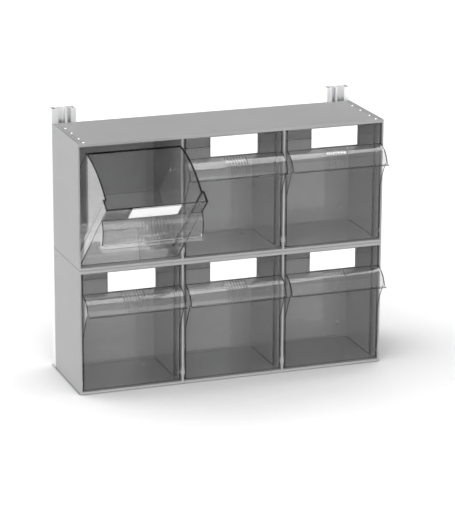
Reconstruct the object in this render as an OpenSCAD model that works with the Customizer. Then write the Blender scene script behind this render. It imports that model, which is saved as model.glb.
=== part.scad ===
// Wall-rail storage unit: two moulded housings, one on the other, each with three
// clear bins that tilt forward on trunnions low down at their front.
// Millimetres. The origin is the centre of the lower housing's footprint, on the
// surface it stands on. +X is to the right, +Y is to the back, +Z is up.

/* [Housing] */
// Distance from the middle of one cell to the middle of the next
cell_pitch = 200; // [185:1:230]
// Height of one housing
module_h = 240; // [232:1:270]
// Depth of a housing, front edge to back face
housing_d = 168; // [160:1:190]
// Thickness of the two outer side walls
side_wall = 3; // [2.6:0.1:3.6]
// Thickness of the partitions between cells
partition_t = 3.8; // [3.2:0.1:4.6]
// Thickness of the back wall
back_wall = 3; // [2.4:0.1:4]
// Thickness of the top plate
top_t = 4; // [3.8:0.1:5]
// Height of the lip along the top front edge
front_lip_h = 6; // [5.5:0.1:8]
// Depth of that lip, front to back
front_lip_d = 5; // [3:0.5:10]
// Height of the cell floor above the housing's underside
floor_h = 5; // [4:0.1:5.5]
// Depth of the hollows under the floor
base_hollow = 2; // [1:0.1:2.5]

/* [Housing details] */
// Width of the solid rim around the hollows under the floor
base_rim = 20; // [18:1:30]
// Distance of the locating pins from the outer side face
pin_inset = 13; // [12:0.5:16]
// Distances of the locating pins from the front edge
pin_ys = [8, 38.5, 83, 123];
// Radius of a locating pin's shank
pin_r = 1.5; // [1:0.1:1.7]
// Radius of a locating pin's head
pin_head_r = 2.1; // [1.8:0.1:2.4]
// Height of a locating pin's head above the top plate
pin_head_h = 1; // [0.6:0.1:1.2]
// Length of a locating pin's shank
pin_len = 2.8; // [2:0.1:3]
// Width of the two fine grooves near each end of the top
groove_w = 1.3; // [0.8:0.1:1.6]
// Depth of those grooves
groove_depth = 1; // [0.5:0.1:1.5]
// Distances of those grooves' middles from the outer side face
groove_insets = [3.8, 10];
// Radius of the link hole through each side wall
link_hole_r = 1.75; // [1.5:0.05:2.5]
// Distance of the link hole in front of the housing's back face
link_hole_inset = 14; // [12:0.5:24]
// Distance of the link hole below the housing's top
link_hole_drop = 13.5; // [10:0.5:20]

/* [Bins] */
// Gap between the front bands of two neighbouring bins
neighbour_gap = 9.6; // [9:0.1:11]
// Thickness of the bin's walls
bin_wall = 2; // [1.6:0.1:2.2]
// Depth of the wide front band
band_d = 26; // [22:1:28]
// How much narrower the bin is behind the band, on each side
body_inset = 4.2; // [3.6:0.1:4.4]
// Gap between the bin's underside and the cell floor
bin_lift = 2; // [1.8:0.1:3]
// Gap between the top of the bin and the housing's front lip
top_gap = 0.5; // [0.4:0.1:3]
// Space behind the bin's back edge at its top
rear_space = 19; // [18:0.5:30]
// How far the back wall leans forward at its foot
back_lean = 5; // [2:0.5:8]
// Drop of the top edge of the band from its front to where the curved rim starts
rim_drop = 6; // [4:0.5:9]
// Distance of the start of the curved rim from the front face
rim_start_y = 23.8; // [21:0.2:25]

/* [Front lip and label] */
// Height of the flat strip across the top of the front
strip_h = 39; // [37:0.5:45]
// Radius of the curved finger lip
lip_r = 41.3; // [38:0.1:45]
// Height of the finger lip, from the strip down to its lower edge
lip_h = 32; // [28:0.5:34]
// Distance of the lip's centre of curvature behind the front face
lip_centre_y = 6; // [4:0.5:8]
// Thickness of the finger lip
lip_t = 2; // [1.6:0.1:2.4]
// How far the small bead along the lip's lower edge stands out
bead_out = 8; // [5:0.5:9]
// Height of the side webs below the lip's lower edge
web_h = 56; // [40:1:70]
// Width of the label card
card_w = 92; // [80:1:120]
// Height of the label card
card_h = 37; // [33:0.5:37]
// Thickness of the label card
card_t = 0.4; // [0.3:0.05:0.8]
// Thickness of the clear label cover's face
cover_t = 1; // [0.8:0.1:1.4]
// Width of the cover's side rails
cover_rail = 3; // [2:0.5:5]

/* [Pivot and stops] */
// Distance of the pivot behind the front edge
pivot_y = 9; // [9:0.5:12]
// Height of the pivot above the housing's underside
pivot_z = 22; // [22:0.5:26]
// Radius of a bin's trunnion
trunnion_r = 4; // [3:0.1:5]
// How far a trunnion stands out from the band
trunnion_len = 3.2; // [2.4:0.1:3.4]
// Radius of the bosses round the pivot bores
pivot_boss_r = 8; // [7:0.5:9]
// Opening angle of a bin
open_deg = 48.5; // [40:0.5:50]
// Space between the wide band and the stop boss behind it
stop_space = 3.7; // [2:0.1:8]
// Radius of the stop lug on the bin
lug_r = 3; // [2:0.1:4]
// How far the lug stands out from the bin's side
lug_len = 4; // [3.4:0.1:4.6]
// Radius of the stop boss in the housing
stop_boss_r = 3; // [2:0.1:4]
// Gap between the stop boss's end and the bin's side
stop_boss_gap = 2; // [1:0.1:2.2]

/* [Uprights] */
// Width of an upright's section
upright_w = 47; // [47:1:60]
// Depth of an upright's section
upright_d = 21; // [18:0.5:30]
// Height that the uprights stand above the housings
upright_rise = 27; // [10:1:80]
// Thickness of an upright's outer walls
upright_wall = 2; // [1.6:0.1:2.6]
// Thickness of the webs inside an upright
web_t = 1.75; // [1.4:0.05:1.9]
// Opening width of the wide slot
wide_slot = 14; // [12:0.5:14.5]
// Distance of the wide slot's middle from the upright's outer side
wide_slot_c = 19; // [18:0.5:19.5]
// Opening width of the narrow slot
narrow_slot = 7; // [5:0.5:7.5]
// Distance of the narrow slot's middle from the upright's outer side
narrow_slot_c = 33.5; // [33:0.5:34]
// How far a slot widens on each side behind its opening
undercut = 1.25; // [0.8:0.05:1.3]
// Radius of the wall fixing holes
wall_hole_r = 3.5; // [2.5:0.1:5]
// Distance of the wall fixing holes from an upright's ends
wall_hole_end = 60; // [56:1:100]

/* [Fixings] */
// Radius of a screw's shank
screw_r = 3; // [2:0.1:3.5]
// Radius of a screw's head
screw_head_r = 5.25; // [4.5:0.05:6]
// Height of a screw's head
screw_head_h = 3.3; // [2.5:0.1:5]
// Width across the corners of the screw's hexagon socket
hex_w = 4.6; // [3:0.1:5]
// Radius of the clearance holes in the back wall
screw_hole_r = 3.6; // [3.55:0.05:4]
// Outer radius of a washer
washer_r = 6.25; // [6.1:0.05:8]
// Thickness of a washer
washer_t = 1.6; // [1:0.1:2.5]
// Length of a slot nut along the upright
nut_l = 20; // [14:1:30]
// Thickness of a slot nut
nut_t = 5; // [4:0.5:8]
// Distance of the screws from a housing's top and underside
screw_inset = 30; // [18:1:60]

/* [Hidden] */
$fn = 96;
ROWS = 2;
COLS = 3;
OPEN_ROW = 1;
OPEN_COL = 0;
EPS = 1;

// Clearances between pieces that fit each other
pivot_clear = 0.05;
pivot_end_clear = 0.3;
pivot_side_gap = 0.6;
stop_gap = 0.3;
rest_gap = 0.3;
card_gap = 0.1;
nut_side_gap = 0.5;
bore_clear = 0.05;
socket_clear = 0.5;

// Overall sizes of the housings
half_w = COLS * cell_pitch / 2;
half_pitch = cell_pitch / 2;
cell_back = housing_d - back_wall;
lip_under = module_h - front_lip_h;

// Main lines of the bin, with y from the front face and z from the housing's underside
band_half = (cell_pitch - neighbour_gap) / 2;
body_half = band_half - body_inset;
bin_bottom = floor_h + bin_lift;
strip_top = lip_under - top_gap;
strip_bottom = strip_top - strip_h;
rim_start_z = strip_top - rim_drop;
rim_r = norm([rim_start_y - pivot_y, rim_start_z - pivot_z]);
back_top_y = cell_back - rear_space;
back_top_z = pivot_z + sqrt(pow(rim_r, 2) - pow(back_top_y - pivot_y, 2));
back_foot_y = back_top_y - back_lean;
back_slope = back_lean / (back_top_z - bin_bottom);

// The foot of the front turns inside this radius, so it clears the floor as it swings
foot_clear = 1;
foot_r = pivot_z - floor_h - foot_clear;
foot_z = pivot_z - sqrt(max(0, pow(foot_r, 2) - pow(pivot_y, 2)));
foot_y = pivot_y - sqrt(max(0, pow(foot_r, 2) - pow(pivot_z - bin_bottom, 2)));

// The finger lip is an arc about this centre
lip_centre_z = strip_bottom - sqrt(pow(lip_r, 2) - pow(lip_centre_y, 2));
lip_bottom = strip_bottom - lip_h;
lip_front_y = lip_centre_y - sqrt(pow(lip_r, 2) - pow(lip_bottom - lip_centre_z, 2));
bead_h = 1.8;

// Label cover and card, just below the top of the strip
card_side_gap = 2;
cover_w = card_w + 2 * (card_side_gap + cover_rail);
cover_margin = 0.8;
cover_top = strip_top - cover_margin;
cover_bottom = strip_bottom + cover_margin;
cover_y = -(card_t + 2 * card_gap + cover_t);
card_bottom = cover_bottom + cover_margin;

// The boss stands just behind the wide band of a closed bin, and the lug in line with
// the foot of its back, so they meet when the bin has turned by the opening angle
boss_reach = band_d + stop_space + stop_boss_r - pivot_y;
lug_reach = back_foot_y - lug_r - pivot_y;
function stop_turn(arm) = 2 * asin((lug_r + stop_boss_r + stop_gap) / (2 * arm));
function arm_for(turn) = norm([boss_reach, (lug_reach - boss_reach * cos(turn)) / sin(turn)]);
stop_arm = arm_for(open_deg + stop_turn(arm_for(open_deg)));
stop_boss_deg = acos(boss_reach / stop_arm);
stop_deg = stop_boss_deg - open_deg - stop_turn(stop_arm);
lug_end = body_half + lug_len;
stop_boss_end = body_half + stop_boss_gap;
pivot_boss_face = band_half + pivot_side_gap;
bore_end = band_half + trunnion_len + pivot_end_clear;

// Uprights stand behind the housings
upright_h = ROWS * module_h + upright_rise;
slot_x = half_w - wide_slot_c;
screw_zs = [screw_inset, module_h - screw_inset];
screw_len = washer_t + back_wall + upright_wall + nut_t + 2;
nut_w = wide_slot + 2 * undercut - 2 * nut_side_gap;

// Finishes
housing_grey = [0.70, 0.70, 0.71];
clear_plastic = [0.86, 0.88, 0.90, 0.40];
paper_white = [0.98, 0.98, 0.98];
aluminium = [0.80, 0.81, 0.82];
bright_steel = [0.88, 0.88, 0.88];

function cell_x(col) = (col - (COLS - 1) / 2) * cell_pitch;
function bin_tilt(row, col) = row == OPEN_ROW && col == OPEN_COL ? open_deg : 0;
function wall_face(col, side) =
    half_pitch - ((side < 0 && col == 0) || (side > 0 && col == COLS - 1) ? side_wall : partition_t / 2);

// A box from its lowest to its highest corner
module block(low, high) {
    translate(low)
        cube(high - low);
}

// A straight round bar along X, from one x to another
module bar_x(x0, x1, r, y, z) {
    translate([x0, y, z])
        rotate([0, 90, 0])
            cylinder(r = r, h = x1 - x0);
}

// A side view, given as [y, z] points, made solid from one x to another
module side_view(x0, x1) {
    translate([x0, 0, 0])
        rotate([90, 0, 90])
            linear_extrude(height = x1 - x0)
                children();
}

module in_cell(row, col) {
    translate([cell_x(col), -housing_d / 2, row * module_h])
        children();
}

module in_bin(row, col) {
    in_cell(row, col)
        translate([0, pivot_y, pivot_z])
            rotate([bin_tilt(row, col), 0, 0])
                translate([0, -pivot_y, -pivot_z])
                    children();
}

module on_stop_circle(deg) {
    translate([0, pivot_y + stop_arm * cos(deg), pivot_z + stop_arm * sin(deg)])
        children();
}

// Empty space of one cell, taller behind the front lip
module cell_space(col) {
    left = -wall_face(col, -1);
    right = wall_face(col, 1);
    block([left, -EPS, floor_h], [right, cell_back, lip_under]);
    block([left, front_lip_d, floor_h], [right, cell_back, module_h - top_t]);
}

// Bosses that carry a trunnion and stop the bin, on one wall of a cell
module wall_bosses(col, side) {
    embed = (half_pitch + wall_face(col, side)) / 2;
    mirror([side < 0 ? 1 : 0, 0, 0]) {
        bar_x(pivot_boss_face, embed, pivot_boss_r, pivot_y, pivot_z);
        on_stop_circle(stop_boss_deg)
            bar_x(stop_boss_end, embed, stop_boss_r, 0, 0);
    }
}

// Two low ribs on the floor, under the back of a closed bin
module rest_ribs() {
    rib_w = 6;
    rib_l = 18;
    rib_x = body_half - 30;
    rib_y = back_foot_y - 26;
    for (side = [-1, 1])
        block([side * rib_x - rib_w / 2, rib_y, floor_h - EPS],
              [side * rib_x + rib_w / 2, rib_y + rib_l, bin_bottom - rest_gap]);
}

// Hollows under the floor of one cell, on both sides of a middle rib
module base_hollows() {
    rib = 8;
    edge = 10;
    for (span = [[edge, (housing_d - rib) / 2], [(housing_d + rib) / 2, housing_d - edge]])
        block([base_rim - half_pitch, span[0], -EPS], [half_pitch - base_rim, span[1], base_hollow]);
}

// Fine grooves in the top near one end, with a small pocket at each end of them
module top_grooves() {
    start_y = 7;
    stop_y = housing_d - 6;
    pocket_w = 3;
    pocket_l = 4;
    for (inset = groove_insets)
        block([half_w - inset - groove_w / 2, start_y, module_h - groove_depth],
              [half_w - inset + groove_w / 2, stop_y, module_h + EPS]);
    for (y = [start_y, stop_y - pocket_l])
        block([half_w - groove_insets[0] - pocket_w / 2, y, module_h - 1.5 * groove_depth],
              [half_w - groove_insets[0] + pocket_w / 2, y + pocket_l, module_h + EPS]);
}

// Shadow line along the foot of a side wall, deeper for a short way at each end
module side_seam() {
    front_y = 10;
    back_y = housing_d - 3;
    deep = 1;
    line_h = 0.5;
    slot_l = 5;
    slot_h = 1.3;
    block([half_w - deep, front_y, -EPS], [half_w + EPS, back_y, line_h]);
    for (y = [front_y, back_y - slot_l])
        block([half_w - deep, y, -EPS], [half_w + EPS, y + slot_l, slot_h]);
}

module each_pin() {
    for (y = pin_ys)
        translate([half_w - pin_inset, y, 0])
            children();
}

module at_screws() {
    for (side = [-1, 1])
        for (z = screw_zs)
            translate([side * slot_x, housing_d, z])
                rotate([90, 0, 0])
                    children();
}

module housing(row) {
    color(housing_grey)
        translate([0, -housing_d / 2, row * module_h])
            difference() {
                union() {
                    difference() {
                        block([-half_w, 0, 0], [half_w, housing_d, module_h]);
                        for (col = [0 : COLS - 1])
                            translate([cell_x(col), 0, 0])
                                cell_space(col);
                    }
                    for (col = [0 : COLS - 1])
                        translate([cell_x(col), 0, 0]) {
                            wall_bosses(col, -1);
                            wall_bosses(col, 1);
                            rest_ribs();
                        }
                }
                for (col = [0 : COLS - 1])
                    translate([cell_x(col), 0, 0]) {
                        base_hollows();
                        for (side = [0, 1])
                            mirror([side, 0, 0])
                                bar_x(pivot_boss_face - EPS, bore_end, trunnion_r + pivot_clear,
                                      pivot_y, pivot_z);
                    }
                for (side = [0, 1])
                    mirror([side, 0, 0]) {
                        top_grooves();
                        side_seam();
                        bar_x(half_w - side_wall - EPS, half_w + EPS, link_hole_r,
                              housing_d - link_hole_inset, module_h - link_hole_drop);
                        each_pin() {
                            translate([0, 0, module_h - pin_len - bore_clear])
                                cylinder(r = pin_r + bore_clear, h = pin_len + EPS);
                            translate([0, 0, -EPS])
                                cylinder(r = pin_head_r + socket_clear, h = pin_head_h + socket_clear + EPS);
                        }
                    }
                at_screws()
                    translate([0, 0, -EPS])
                        cylinder(r = screw_hole_r, h = back_wall + 2 * EPS);
            }
}

// Side view of the bin behind its front band
module body_outline() {
    intersection() {
        polygon([
            [0, foot_z], [foot_y, bin_bottom], [back_foot_y, bin_bottom],
            [back_foot_y + back_slope * (module_h - bin_bottom), module_h], [0, module_h]
        ]);
        translate([pivot_y, pivot_z])
            circle(r = rim_r);
    }
}

// Side view of the wide band across the front
module band_outline() {
    polygon([
        [0, foot_z], [foot_y, bin_bottom], [band_d, bin_bottom],
        [band_d, rim_start_z - 1], [rim_start_y, rim_start_z], [0, strip_top]
    ]);
}

// Side view of the space inside the bin
module inside_outline() {
    polygon([
        [bin_wall, bin_bottom + bin_wall],
        [back_foot_y - bin_wall, bin_bottom + bin_wall],
        [back_foot_y - bin_wall + back_slope * (module_h - bin_bottom), module_h],
        [bin_wall, module_h]
    ]);
}

// Curved lip across the front, with a bead along its lower edge
module finger_lip() {
    side_view(-band_half, band_half) {
        intersection() {
            difference() {
                translate([lip_centre_y, lip_centre_z])
                    circle(r = lip_r);
                translate([lip_centre_y, lip_centre_z])
                    circle(r = lip_r - lip_t);
            }
            polygon([
                [lip_centre_y - lip_r - EPS, lip_bottom], [bin_wall / 2, lip_bottom],
                [bin_wall / 2, strip_bottom + lip_t], [lip_centre_y - lip_r - EPS, strip_bottom + lip_t]
            ]);
        }
        polygon([
            [lip_front_y - bead_out, lip_bottom - bead_h], [lip_front_y + lip_t, lip_bottom - bead_h],
            [lip_front_y + lip_t, lip_bottom], [lip_front_y - bead_out, lip_bottom]
        ]);
    }
}

// Web that closes one end of the space under the lip, with a hollow front edge
module side_web() {
    top_z = lip_bottom - bead_h / 2;
    front_y = lip_front_y + lip_t + 6;
    steps = 6;
    curve = [for (i = [0 : steps])
        let (t = i / steps)
        [front_y * pow(1 - t, 1.25) + bin_wall / 2 * t, top_z - web_h * t]];
    side_view(band_half - bin_wall, band_half) {
        polygon(concat(curve, [[bin_wall / 2, top_z]]));
        intersection() {
            translate([lip_centre_y, lip_centre_z])
                circle(r = lip_r - lip_t / 2);
            polygon([
                [front_y, top_z - EPS], [bin_wall / 2, top_z - EPS], [bin_wall / 2, strip_bottom],
                [lip_centre_y - lip_r, strip_bottom], [lip_centre_y - lip_r, lip_bottom]
            ]);
        }
    }
}

module bin_shell() {
    difference() {
        union() {
            side_view(-body_half, body_half)
                body_outline();
            side_view(-band_half, band_half)
                band_outline();
        }
        side_view(bin_wall - body_half, body_half - bin_wall)
            inside_outline();
        block([bin_wall - band_half, bin_wall, bin_bottom + bin_wall],
              [band_half - bin_wall, band_d - bin_wall, module_h]);
    }
}

module bin(row, col) {
    color(clear_plastic)
        in_bin(row, col) {
            bin_shell();
            finger_lip();
            for (side = [0, 1])
                mirror([side, 0, 0]) {
                    side_web();
                    bar_x(band_half - bin_wall, band_half + trunnion_len, trunnion_r, pivot_y, pivot_z);
                    on_stop_circle(stop_deg)
                        bar_x(body_half - bin_wall, lug_end, lug_r, 0, 0);
                }
        }
}

module label_card(row, col) {
    color(paper_white)
        in_bin(row, col)
            block([-card_w / 2, -card_gap - card_t, card_bottom],
                  [card_w / 2, -card_gap, card_bottom + card_h]);
}

// Clear face with a rail down each side and one along the foot, open at the top
module label_cover(row, col) {
    color(clear_plastic)
        in_bin(row, col) {
            block([-cover_w / 2, cover_y, cover_bottom], [cover_w / 2, cover_y + cover_t, cover_top]);
            for (side = [0, 1])
                mirror([side, 0, 0])
                    block([cover_w / 2 - cover_rail, cover_y, cover_bottom], [cover_w / 2, 0, cover_top]);
            block([-cover_w / 2, cover_y, cover_bottom],
                  [cover_w / 2, 0, cover_bottom + cover_margin - card_gap]);
        }
}

// Section of the extruded upright, from its outer side at 0 inwards
module upright_section() {
    slots = [[wide_slot_c, wide_slot], [narrow_slot_c, narrow_slot]];
    hollow_end = wide_slot_c - wide_slot / 2 - undercut - web_t;
    hollow_start = narrow_slot_c + narrow_slot / 2 + undercut + web_t;
    hollows = [[upright_wall, hollow_end], [hollow_start, upright_w - upright_wall]];
    inner_d = upright_d - 2 * upright_wall;
    difference() {
        square([upright_w, upright_d]);
        for (s = slots) {
            translate([s[0] - s[1] / 2 - undercut, upright_wall])
                square([s[1] + 2 * undercut, inner_d]);
            translate([s[0] - s[1] / 2, -EPS])
                square([s[1], upright_wall + 2 * EPS]);
        }
        for (h = hollows)
            translate([h[0], upright_wall])
                square([h[1] - h[0], inner_d]);
    }
}

module upright(side) {
    color(aluminium)
        mirror([side > 0 ? 1 : 0, 0, 0])
            translate([-half_w, housing_d / 2, 0])
                difference() {
                    linear_extrude(height = upright_h)
                        upright_section();
                    for (z = [wall_hole_end, upright_h - wall_hole_end])
                        translate([wide_slot_c, upright_d + EPS, z])
                            rotate([90, 0, 0])
                                cylinder(r = wall_hole_r, h = upright_wall + 2 * EPS);
                }
}

module locating_pins(row) {
    color(bright_steel)
        translate([0, -housing_d / 2, (row + 1) * module_h])
            for (side = [0, 1])
                mirror([side, 0, 0])
                    each_pin() {
                        translate([0, 0, -pin_len])
                            cylinder(r = pin_r, h = pin_len + pin_head_h / 2);
                        cylinder(r1 = pin_head_r, r2 = pin_head_r * 0.7, h = pin_head_h);
                    }
}

// Places something at each fixing point, with z pointing forward from the back face
module at_all_screws() {
    for (row = [0 : ROWS - 1])
        translate([0, -housing_d / 2, row * module_h])
            at_screws()
                children();
}

module fixing_screws() {
    head_z = back_wall + washer_t;
    socket_depth = 2;
    color(bright_steel)
        at_all_screws()
            difference() {
                union() {
                    translate([0, 0, head_z - screw_len])
                        cylinder(r = screw_r, h = screw_len + EPS);
                    translate([0, 0, head_z])
                        cylinder(r1 = screw_head_r, r2 = screw_head_r * 0.75, h = screw_head_h);
                }
                translate([0, 0, head_z + screw_head_h - socket_depth])
                    cylinder(r = hex_w / 2, h = socket_depth + EPS, $fn = 6);
            }
}

module fixing_washers() {
    color(bright_steel)
        at_all_screws()
            translate([0, 0, back_wall])
                difference() {
                    cylinder(r = washer_r, h = washer_t);
                    translate([0, 0, -EPS])
                        cylinder(r = screw_r + bore_clear, h = washer_t + 2 * EPS);
                }
}

module slot_nuts() {
    color(bright_steel)
        at_all_screws()
            translate([0, 0, -upright_wall - nut_t])
                difference() {
                    block([-nut_w / 2, -nut_l / 2, 0], [nut_w / 2, nut_l / 2, nut_t]);
                    translate([0, 0, -EPS])
                        cylinder(r = screw_r + bore_clear, h = nut_t + 2 * EPS);
                }
}

module housing_lower() { housing(0); }
module housing_upper() { housing(1); }
module bin_bottom_left() { bin(0, 0); }
module bin_bottom_middle() { bin(0, 1); }
module bin_bottom_right() { bin(0, 2); }
module bin_top_left() { bin(1, 0); }
module bin_top_middle() { bin(1, 1); }
module bin_top_right() { bin(1, 2); }
module label_card_bottom_left() { label_card(0, 0); }
module label_card_bottom_middle() { label_card(0, 1); }
module label_card_bottom_right() { label_card(0, 2); }
module label_card_top_left() { label_card(1, 0); }
module label_card_top_middle() { label_card(1, 1); }
module label_card_top_right() { label_card(1, 2); }
module label_cover_bottom_left() { label_cover(0, 0); }
module label_cover_bottom_middle() { label_cover(0, 1); }
module label_cover_bottom_right() { label_cover(0, 2); }
module label_cover_top_left() { label_cover(1, 0); }
module label_cover_top_middle() { label_cover(1, 1); }
module label_cover_top_right() { label_cover(1, 2); }
module upright_left() { upright(-1); }
module upright_right() { upright(1); }
module locating_pins_lower() { locating_pins(0); }
module locating_pins_upper() { locating_pins(1); }

housing_lower();
housing_upper();
bin_bottom_left();
bin_bottom_middle();
bin_bottom_right();
bin_top_left();
bin_top_middle();
bin_top_right();
label_card_bottom_left();
label_card_bottom_middle();
label_card_bottom_right();
label_card_top_left();
label_card_top_middle();
label_card_top_right();
label_cover_bottom_left();
label_cover_bottom_middle();
label_cover_bottom_right();
label_cover_top_left();
label_cover_top_middle();
label_cover_top_right();
upright_left();
upright_right();
locating_pins_lower();
locating_pins_upper();
fixing_screws();
fixing_washers();
slot_nuts();
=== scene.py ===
"""Storage unit: two moulded housings on wall uprights, with six clear tilt-out bins.

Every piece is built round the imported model, in its frame: +X to the right, +Y to the back,
+Z up, with the origin under the middle of the lower housing. Sizes in the classes below are
millimetres, and each finished mesh is scaled to metres once, when its piece is made.
"""

import logging
import math
from collections.abc import Callable, Iterable
from dataclasses import dataclass, field
from enum import Enum

import bmesh
import bpy
from mathutils import Euler, Matrix, Vector


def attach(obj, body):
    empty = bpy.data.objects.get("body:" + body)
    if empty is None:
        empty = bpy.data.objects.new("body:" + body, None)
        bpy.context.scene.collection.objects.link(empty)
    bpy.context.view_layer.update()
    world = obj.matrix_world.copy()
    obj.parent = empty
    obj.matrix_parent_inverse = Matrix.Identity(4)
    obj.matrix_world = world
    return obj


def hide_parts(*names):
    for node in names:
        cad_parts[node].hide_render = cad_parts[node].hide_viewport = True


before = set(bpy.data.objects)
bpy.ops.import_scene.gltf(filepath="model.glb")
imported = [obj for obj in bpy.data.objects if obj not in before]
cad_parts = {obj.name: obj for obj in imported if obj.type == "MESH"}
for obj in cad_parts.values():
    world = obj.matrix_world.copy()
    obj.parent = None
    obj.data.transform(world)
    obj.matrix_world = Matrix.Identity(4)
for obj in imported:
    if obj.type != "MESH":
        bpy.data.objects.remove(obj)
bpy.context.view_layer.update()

MM = 0.001
FRONT_PLANE_Y = -84.0  # the housings' front, in the unit's frame
SMOOTH_BELOW = math.radians(40)
WELD_DISTANCE = 0.002
FLAT_WITHIN = math.radians(0.4)
QUARTER_TURN = math.radians(90)
SQUARE_ON = 0.9  # part of a direction or normal above which it counts as along an axis
FACES_UP = 0.2  # the same for faces of a sloping or curved top
LAP = 0.02  # small step that keeps the faces of joined shapes out of one plane
PROUD = 1.0  # how far a cutter reaches past the face where it starts

Point = tuple[float, float]
Place = tuple[float, float, float]
Colour = tuple[float, float, float]
Pick = Callable[[Vector, Vector], bool]
Socket = bpy.types.NodeSocket
Material = bpy.types.Material
Piece = bpy.types.Object

log = logging.getLogger("storage_unit")


class Axis(Enum):
    """Direction along which a flat outline is drawn out."""

    X = 0
    Z = 2

    def point(self, a: float, b: float, along: float) -> Vector:
        """Place of an outline point: (a, b) is (y, z) for X and (x, y) for Z."""
        return Vector((along, a, b)) if self is Axis.X else Vector((a, b, along))

    def step(self, length: float) -> Vector:
        """Vector of that length along the axis."""
        return Vector((length, 0, 0)) if self is Axis.X else Vector((0, 0, length))


class Side(Enum):
    """Left or right end of a mirrored pair."""

    LEFT = -1
    RIGHT = 1


class Row(Enum):
    """Storey of the unit."""

    BOTTOM = 0
    TOP = 1


class Column(Enum):
    """Cell of a storey, counted from the middle."""

    LEFT = -1
    MIDDLE = 0
    RIGHT = 1


@dataclass(frozen=True)
class Cell:
    """One of the six places for a bin."""

    row: Row
    column: Column
    pitch: float = 200.0
    storey: float = 240.0
    outer_wall: float = 97.0
    partition: float = 98.1

    @property
    def name(self) -> str:
        """Name that the cell's pieces share, such as top_left."""
        return f"{self.row.name}_{self.column.name}".lower()

    @property
    def open(self) -> bool:
        """Whether the cell's bin stands tilted open."""
        return self.row is Row.TOP and self.column is Column.LEFT

    @property
    def corner(self) -> Vector:
        """Middle of the cell's front lower edge, in the unit's frame."""
        return Vector((self.column.value * self.pitch, FRONT_PLANE_Y, self.row.value * self.storey))

    def wall(self, side: Side) -> float:
        """Distance of the wall's face on that side from the middle of the cell."""
        return self.outer_wall if self.column.value == side.value else self.partition


CELLS = tuple(Cell(row, column) for row in Row for column in Column)


def arc(centre: Point, radius: float, start: float, stop: float, steps: int) -> list[Point]:
    """Points along a circle.

    Args:
        centre: Middle of the circle.
        radius: Its radius.
        start: Angle of the first point, in degrees from the first axis.
        stop: Angle of the last point.
        steps: Number of chords between them.

    Returns:
        The points, first and last included.
    """
    turns = [math.radians(start + (stop - start) * i / steps) for i in range(steps + 1)]
    return [(centre[0] + radius * math.cos(t), centre[1] + radius * math.sin(t)) for t in turns]


def scene_object(name: str, data: bpy.types.ID) -> bpy.types.Object:
    """Puts a new object into the scene.

    Args:
        name: The object's name.
        data: Its mesh, camera or light.

    Returns:
        The object, at the origin.
    """
    made = bpy.data.objects.new(name, data)
    bpy.context.scene.collection.objects.link(made)
    return made


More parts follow.
